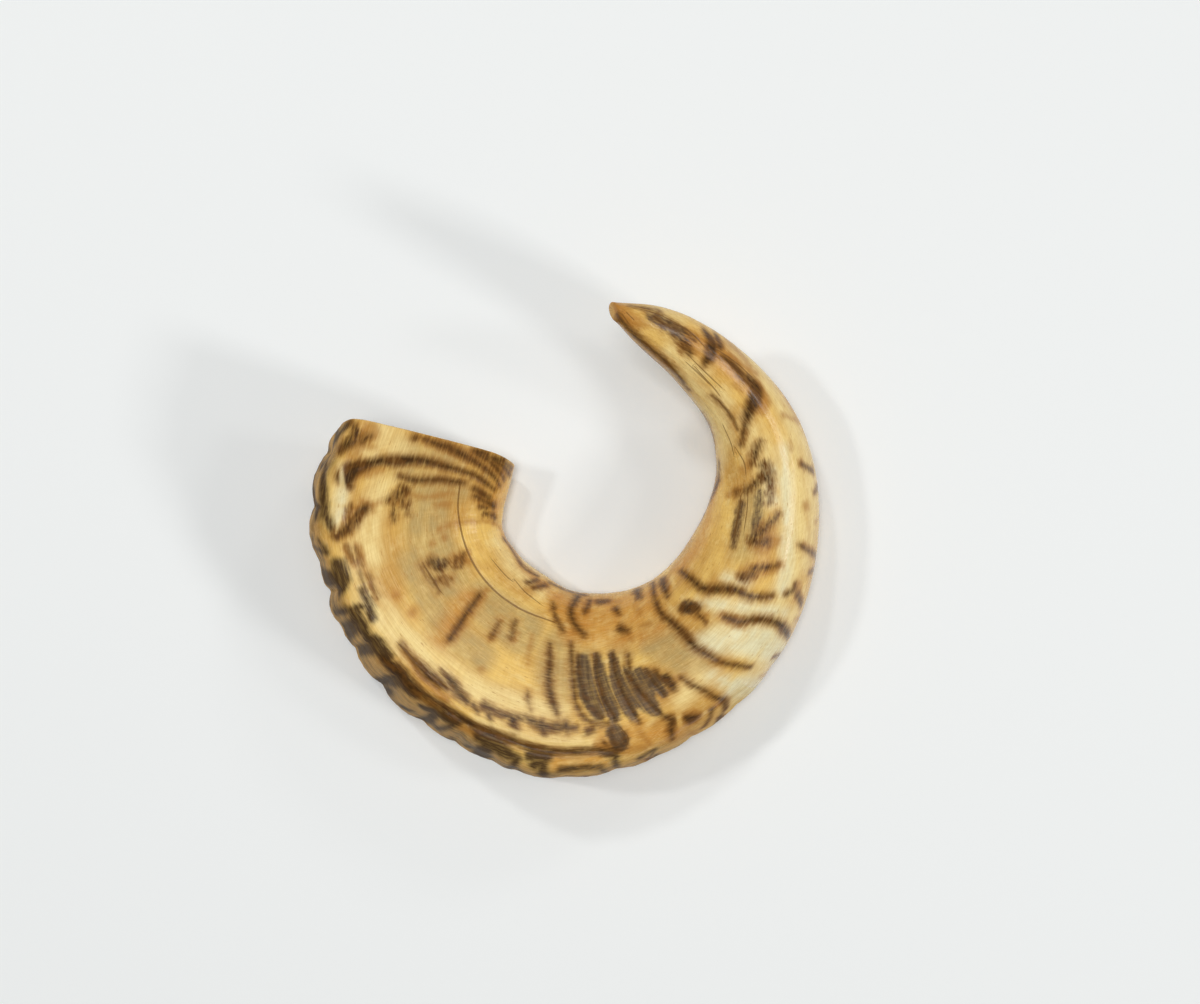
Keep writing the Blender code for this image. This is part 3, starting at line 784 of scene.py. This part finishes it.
# material numbers: 0 the outside, 1 the sawn edge, 2 the hollow's wall, 3 the unpolished front
dullFront = {"fromTurn": 6.3, "toTurn": 10.6, "toPlace": 300}
firstCorner = np.empty(len(mesh.polygons), dtype=np.int32)
mesh.polygons.foreach_get("loop_start", firstCorner)
cornerVerts = np.empty(len(mesh.loops), dtype=np.int32)
mesh.loops.foreach_get("vertex_index", cornerVerts)
faceCorners = [cornerVerts[firstCorner + k] for k in range(4)]
lowest = np.minimum.reduce([rowOf[corner] for corner in faceCorners])
turn = turnKnots[np.minimum.reduce([columnOf[corner] for corner in faceCorners])]
slots = np.where(lowest < len(cavity), 2, np.where(lowest < firstOuter - 1, 1, 0)).astype(np.int32)
placeOfRow = np.concatenate([np.zeros(firstOuter), places[:, 0], np.full(len(tipRows), hornLength)])
onFront = (turn > dullFront["fromTurn"]) & (turn < dullFront["toTurn"])
slots[(slots == 0) & onFront & (placeOfRow[lowest] < dullFront["toPlace"])] = 3


def colour(*screen):
    # red, green and blue as on a screen, from 0 to 255
    return tuple(((c / 255 + 0.055) / 1.055) ** 2.4 if c > 10 else c / 255 / 12.92 for c in screen) + (1.0,)


def node(tree, kind, inputs=None, **settings):
    made = tree.nodes.new("ShaderNode" + kind)
    for name, value in settings.items():
        setattr(made, name, value)
    for name, value in (inputs or {}).items():
        if isinstance(value, bpy.types.NodeSocket):
            tree.links.new(value, made.inputs[name])
        else:
            made.inputs[name].default_value = value
    return made


def maths(tree, operation, *values):
    return node(tree, "Math", dict(enumerate(values)), operation=operation).outputs[0]


def times(tree, first, second):
    return maths(tree, "MULTIPLY", first, second)


def blend(tree, share, below, above, kind="MIX"):
    return node(tree, "Mix", {0: share, 6: below, 7: above}, data_type="RGBA", blend_type=kind).outputs[2]


def ramp(tree, value, start, end, low=0.0, high=1.0):
    inputs = {"Value": value, "From Min": start, "From Max": end, "To Min": low, "To Max": high}
    return node(tree, "MapRange", inputs, interpolation_type="SMOOTHSTEP").outputs[0]


def grain(tree, way, size, seed, detail=3.0, rough=0.55):
    # noise with its own size along, across and up the straightened horn, in mm
    scaled = node(tree, "Mapping", {
        "Vector": way, "Location": (seed * 3.7, seed * 1.9, seed), "Scale": tuple(1 / s for s in size)})
    inputs = {"Vector": scaled.outputs[0], "Scale": 1.0, "Detail": detail, "Roughness": rough}
    return node(tree, "TexNoise", inputs).outputs["Fac"]


def parts(tree, vector):
    return node(tree, "SeparateXYZ", {0: vector}).outputs


def startMaterial(name):
    material = bpy.data.materials.new(name)
    material.use_nodes = True
    return material, material.node_tree, material.node_tree.nodes["Principled BSDF"]


def read(tree, name):
    return node(tree, "Attribute", attribute_name=name).outputs["Vector"]


def roughen(tree, shader, height, strength, distance):
    bump = node(tree, "Bump", {"Height": height, "Strength": strength, "Distance": distance})
    tree.links.new(bump.outputs[0], shader.inputs["Normal"])


hornFinish = {
    "colours": {
        # paintedHighlight is the colour of the painted highlights
        "honey": (243, 202, 112), "cream": (250, 224, 154), "paintedHighlight": (240, 232, 190), "tan": (211, 163, 84),
        "grey": (190, 164, 108), "orange": (208, 144, 62), "dark": (66, 42, 14), "darkRed": (100, 64, 24),
        "rust": (168, 110, 42), "slate": (98, 78, 56), "front": (192, 146, 84), "frontDark": (116, 84, 44),
        "crack": (112, 76, 32), "frontInk": (72, 51, 27),
    },
    "stain": (0.70, 0.60, 0.46, 1),
    # size along, across and up the horn in mm, seed, detail and roughness
    "grains": {
        "broad": ((34, 15, 15), 1, 2.0), "middling": ((11, 4.5, 4.5), 2, 3.0),
        "fibre": ((16, 0.55, 0.55), 3, 3.0, 0.6), "fineFibre": ((7, 0.22, 0.22), 4, 2.0, 0.6),
        "fray": ((6.0, 0.8, 0.8), 5, 3.0, 0.6), "blot": ((6.0, 3.0, 3.0), 6, 3.0, 0.6),
        "dash": ((4.5, 0.6, 0.6), 8, 1.0, 0.5), "dry": ((4.2, 0.9, 0.9), 9, 1.5, 0.5),
    },
    "growthBands": ((1.6, 16, 16), 7, 3.0, 0.65),
    # how far outside and inside a mark its ink begins and is full, in mm, how strong, how ragged
    "inks": {
        "halo": (-3.4, 0.6, 0.55, 1.2), "rust": (-1.8, 1.4, 0.62), "slate": (-1.4, 0.9, 1.0, 0.8),
        "front": (-2.0, 1.6, 0.98, 1.2), "dark": (-1.8, 1.7, 1.0),
    },
    "frayed": 1.7, "blotted": 2.6, "roughness": (0.20, 0.30), "bump": (0.55, 0.00012), "ior": 1.52,
}


def skinMaterial(name, shine, duller):
    look = {tone: colour(*screen) for tone, screen in hornFinish["colours"].items()}
    material, tree, shader = startMaterial(name)
    way = read(tree, "straight")
    darkInk, rustInk, slateInk = parts(tree, read(tree, "inks"))
    # the third value is the cream, partly the horn's own tone and partly painted light
    orangeShare, greyShare, creamAndPaintedLightShare = parts(tree, read(tree, "patches"))
    crackAt, crackHalfAt, paleAt = parts(tree, read(tree, "cracks"))
    growthAt, frontShare, dryShare = parts(tree, read(tree, "growth"))
    # the second value is the share of the painted highlights
    frontInk, paintedHighlightShare = parts(tree, read(tree, "blots"))[:2]

    broad, middling, fibre, fineFibre, fray, blot, dash, dry = (
        grain(tree, way, *given) for given in hornFinish["grains"].values())
    across, up = parts(tree, way)[1:]
    growthWay = node(tree, "CombineXYZ", {0: growthAt, 1: across, 2: up}).outputs[0]
    growthBands = grain(tree, growthWay, *hornFinish["growthBands"])

    base = blend(tree, ramp(tree, broad, 0.35, 0.65), look["honey"], look["tan"])

    def over(share, above):
        nonlocal base
        base = blend(tree, share, base, above)

    over(ramp(tree, middling, 0.52, 0.75, 0.0, 0.55), look["cream"])
    for share, tone, limits in (
        (greyShare, "grey", (0.2, 0.75, 0.95, 0.45)), (orangeShare, "orange", (0.25, 0.7, 0.85, 0.45)),
        # the cream patches are partly painted light, and the highlight patches are painted highlights
        (creamAndPaintedLightShare, "cream", (0.25, 0.6, 0.5, 0.95)), (paintedHighlightShare, "paintedHighlight", (0.3, 0.6, 0.5, 1.0)),
    ):
        over(times(tree, share, ramp(tree, middling, *limits)), look[tone])
    frontTone = blend(tree, ramp(tree, middling, 0.36, 0.62), look["frontDark"], look["front"])
    frontTone = blend(tree, ramp(tree, broad, 0.42, 0.65, 0.0, 0.6), frontTone, look["tan"])
    frontNear = times(tree, frontShare, ramp(tree, growthAt, 180, 280, 0.85, 0.1))
    over(frontNear, frontTone)
    stained = blend(tree, 1.0, base, hornFinish["stain"], "MULTIPLY")
    over(ramp(tree, fibre, 0.34, 0.62, 0.42, 0.0), stained)
    over(ramp(tree, fineFibre, 0.5, 0.7, 0.0, 0.36), look["cream"])
    over(ramp(tree, growthBands, 0.3, 0.7, 0.22, 0.0), stained)
    over(ramp(tree, dash, 0.69, 0.76, 0.0, 0.55), look["rust"])

    # the pigment follows the fibres: it frays out along them and lies thinner between them
    frayed = times(tree, maths(tree, "SUBTRACT", fray, 0.5), hornFinish["frayed"])
    blotted = times(tree, maths(tree, "SUBTRACT", blot, 0.5), hornFinish["blotted"])
    frayed = times(tree, frayed, maths(tree, "ADD", times(tree, dryShare, 0.8), 1.0))
    ragged = maths(tree, "ADD", frayed, blotted)
    broken = times(tree, dryShare, ramp(tree, dry, 0.38, 0.64, 0.0, 0.34))
    thinner = times(tree, ramp(tree, fray, 0.34, 0.56, 0.82, 1.0), maths(tree, "SUBTRACT", 1.0, broken))
    kept = times(tree, ramp(tree, paleAt, -0.5, 0.8, 1.0, 0.2), thinner)

    def inkShare(ink, low, high, most, spread=1.0):
        worn = maths(tree, "ADD", ink, times(tree, ragged, spread))
        return times(tree, ramp(tree, worn, low, high, 0.0, most), kept)

    inks = hornFinish["inks"]
    banded = ramp(tree, growthBands, 0.4, 0.6, 1.0, 0.85)
    slateShare = times(tree, inkShare(slateInk, *inks["slate"]), banded)
    inkTone = blend(tree, ramp(tree, blot, 0.4, 0.62), look["dark"], look["darkRed"])
    over(inkShare(darkInk, *inks["halo"]), look["rust"])
    over(inkShare(rustInk, *inks["rust"]), look["rust"])
    over(slateShare, look["slate"])
    over(inkShare(frontInk, *inks["front"]), look["frontInk"])
    over(inkShare(darkInk, *inks["dark"]), inkTone)
    crackDepth = maths(tree, "SUBTRACT", crackHalfAt, maths(tree, "ABSOLUTE", crackAt))
    crack = ramp(tree, crackDepth, -0.2, 0.1, 0.0, 0.75)
    over(crack, look["crack"])
    tree.links.new(base, shader.inputs["Base Color"])

    low, high = hornFinish["roughness"]
    tree.links.new(ramp(tree, middling, 0.3, 0.7, low + duller, high + duller), shader.inputs["Roughness"])
    shader.inputs["IOR"].default_value = hornFinish["ior"]
    shader.inputs["Specular IOR Level"].default_value = shine
    height = maths(tree, "ADD", times(tree, fibre, 0.7), times(tree, growthBands, 0.8))
    height = maths(tree, "SUBTRACT", height, times(tree, crack, 0.8))
    roughen(tree, shader, height, *hornFinish["bump"])
    return material


sawnFinish = {
    "layers": ((3.0, 9.0, 0.8), 11, 3.0), "pale": (214, 182, 128), "deep": (150, 112, 70),
    "flecks": ((0.5, 8.0, 8.0), 12, 2.0), "fleckShare": (0.5, 0.75, 0.0, 0.5), "fleck": (92, 64, 42),
    "roughness": 0.6, "bump": (0.5, 0.0003),
}
hollowFinish = {
    "layers": ((14, 9, 9), 21, 4.0), "pale": (176, 146, 104), "deep": (108, 80, 54),
    "flecks": ((1.2, 0.9, 0.9), 22, 3.0), "fleckShare": (0.52, 0.7, 0.0, 0.6), "fleck": (70, 50, 36),
    "roughness": 0.8, "bump": (0.8, 0.0006),
}


def rawMaterial(name, finish):
    material, tree, shader = startMaterial(name)
    way = read(tree, "straight")
    layers, flecks = grain(tree, way, *finish["layers"]), grain(tree, way, *finish["flecks"])
    base = blend(tree, ramp(tree, layers, 0.35, 0.65), colour(*finish["pale"]), colour(*finish["deep"]))
    base = blend(tree, ramp(tree, flecks, *finish["fleckShare"]), base, colour(*finish["fleck"]))
    tree.links.new(base, shader.inputs["Base Color"])
    shader.inputs["Roughness"].default_value = finish["roughness"]
    roughen(tree, shader, flecks, *finish["bump"])
    return material


for material in (
    skinMaterial("polishedHornSkin", 0.42, 0.0), rawMaterial("sawnHornEdge", sawnFinish),
    rawMaterial("hollowWall", hollowFinish), skinMaterial("dullHornFront", 0.12, 0.35),
):
    mesh.materials.append(material)
mesh.polygons.foreach_set("material_index", slots)

bpy.ops.object.mode_set(mode="EDIT")
bpy.ops.mesh.select_all(action="SELECT")
bpy.ops.mesh.remove_doubles(threshold=1e-6)
bpy.ops.mesh.normals_make_consistent(inside=False)
bpy.ops.object.mode_set(mode="OBJECT")
bpy.ops.object.shade_smooth_by_angle(angle=math.radians(55))
print("horn meshed", len(mesh.vertices), "vertices")

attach(horn, "root")
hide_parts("horn")

# Table, lights and camera
studio = {
    "table": (242, 244, 243), "tableSize": 3.0, "sky": 0.12, "skyColour": (0.96, 0.98, 1.0, 1.0),
    "distance": 2.5,
    # each light's bearing and height in degrees, its power, its width, whether the gloss shows it
    "lights": {
        "ceilingLight": (150, 84, 23.5, 0.7, False),
        "overheadLight": (55, 72, 4.2, 0.90, True),
        "sideLight": (4, 37, 5.0, 0.34, True),
        "rightLight": (335, 28, 18.0, 0.36, False),
        "backLight": (119, 47, 8.4, 0.22, False),
        "leftLight": (162, 45, 10.0, 0.18, False),
        "backRightLight": (52, 30, 3.5, 0.40, False),
    },
}
bpy.ops.object.select_all(action="DESELECT")
bpy.ops.mesh.primitive_plane_add(size=studio["tableSize"], location=(0, 0, 0))
table = bpy.context.active_object
table.name = "table"
paper, paperTree, paperShader = startMaterial("whiteTable")
paperShader.inputs["Base Color"].default_value = colour(*studio["table"])
paperShader.inputs["Roughness"].default_value = 0.75
table.data.materials.append(paper)
table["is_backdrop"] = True

world = bpy.data.worlds.new("softSky")
bpy.context.scene.world = world
world.use_nodes = True
world.node_tree.nodes["Background"].inputs["Color"].default_value = studio["skyColour"]
world.node_tree.nodes["Background"].inputs["Strength"].default_value = studio["sky"]

for name, (bearing, high, power, size, mirrored) in studio["lights"].items():
    away = math.cos(math.radians(high)) * studio["distance"]
    x, y = away * math.cos(math.radians(bearing)), away * math.sin(math.radians(bearing))
    bpy.ops.object.light_add(type="AREA", location=(x, y, math.sin(math.radians(high)) * studio["distance"]))
    light = bpy.context.active_object
    light.name = name
    light.data.energy = power
    light.data.size = size
    light.visible_glossy = mirrored
    light.rotation_euler = (-light.location).to_track_quat("-Z", "Y").to_euler()

bpy.ops.object.camera_add(location=[c / 1000 for c in view["eye"]], rotation=(0, 0, 0))
camera = bpy.context.active_object
camera.name = "fromAbove"
camera.data.sensor_width = 36.0
camera.data.lens = camera.data.sensor_width * viewScale / view["width"]
camera.data.clip_start = 0.01
bpy.context.scene.camera = camera
bpy.context.scene.view_settings.view_transform = "Standard"

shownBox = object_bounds()
boxes = {"cad": [list(corner) for corner in cadBox], "visual": [list(corner) for corner in shownBox]}
for name, box in boxes.items():
    print(name, "box in mm", [[round(c * 1000, 2) for c in corner] for corner in box])
